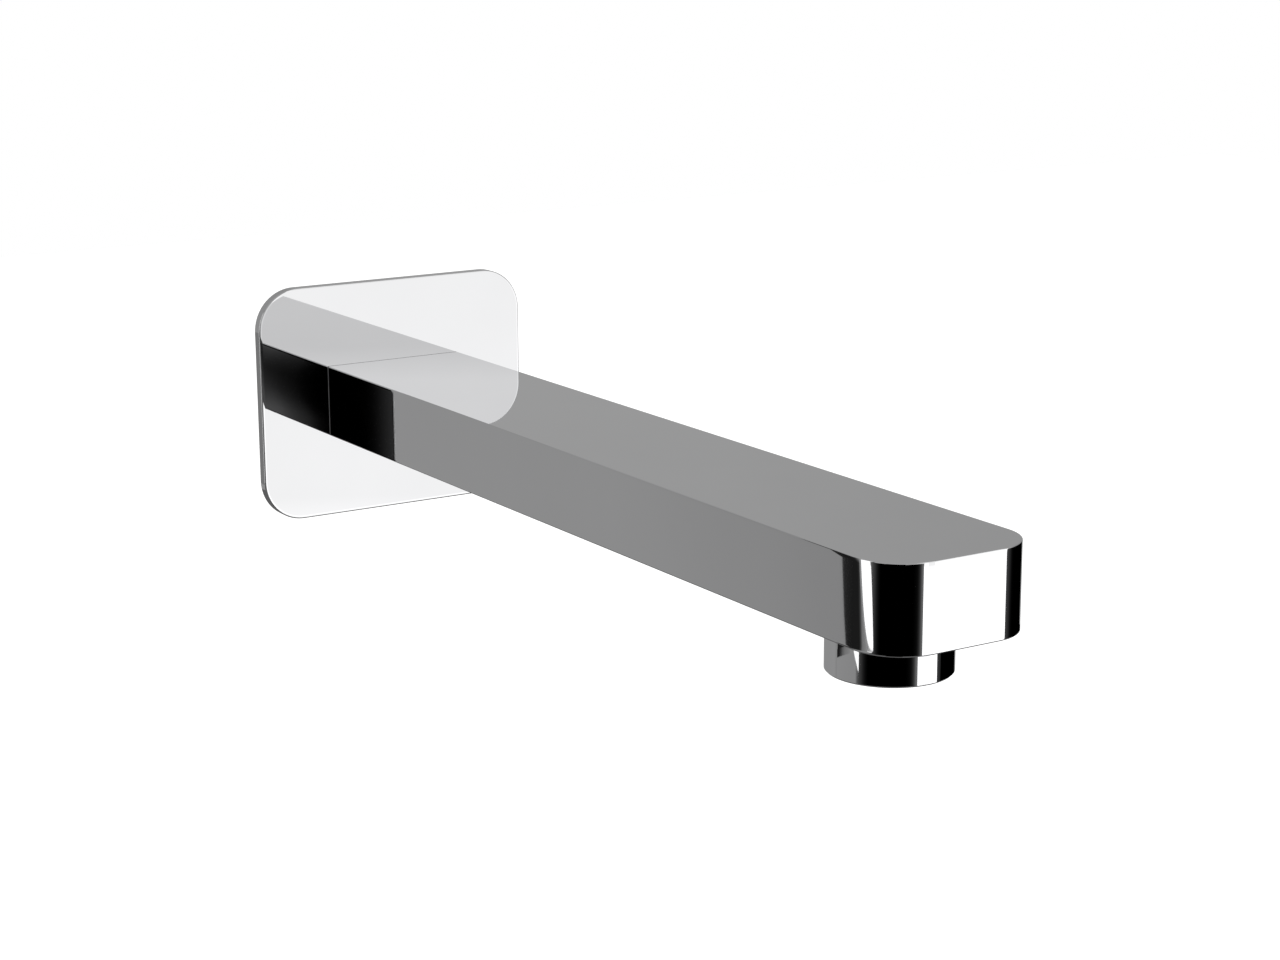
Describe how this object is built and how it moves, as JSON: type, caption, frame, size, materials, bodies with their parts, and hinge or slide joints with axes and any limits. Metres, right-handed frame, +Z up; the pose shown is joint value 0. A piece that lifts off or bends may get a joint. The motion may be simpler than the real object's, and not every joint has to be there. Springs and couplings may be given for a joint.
{
  "type": "faucet spout",
  "caption": "Wall spout: straight hollow bar body with rounded front corners, rectangular cover plate, screw-on aerator collar under the tip and a threaded inlet nipple behind the plate.",
  "frame": {"origin": "on the axis of the inlet thread, in the wall plane, which is the back face of the cover plate", "axes": "+Y into the wall along the inlet thread, +Z up, +X to the right for someone facing the wall; the spout points along -Y"},
  "size_m": [0.07, 0.237, 0.056],
  "materials": {
    "chrome_finish": "polished",
    "bare_brass": "turned",
    "gasket_foam": "closed-cell foam",
    "seal_rubber": "moulded",
    "stainless_steel": "plain",
    "cartridge_plastic": "moulded"
  },
  "bodies": {
    "root": {"spout_body": "chrome_finish", "wall_plate": "chrome_finish", "aerator_housing": "chrome_finish", "inlet_nipple": "bare_brass", "wall_gasket": "gasket_foam", "spigot_o_ring_rear": "seal_rubber", "spigot_o_ring_front": "seal_rubber", "aerator_washer": "seal_rubber", "regulator_ring": "seal_rubber", "grub_screw": "stainless_steel", "screen_upper": "stainless_steel", "screen_lower": "stainless_steel", "cartridge_shell": "cartridge_plastic", "strainer_dome": "cartridge_plastic", "jet_plate": "cartridge_plastic", "regulator_core": "cartridge_plastic", "screen_spacer": "cartridge_plastic", "outlet_grid": "cartridge_plastic"}
  },
  "joints": []
}
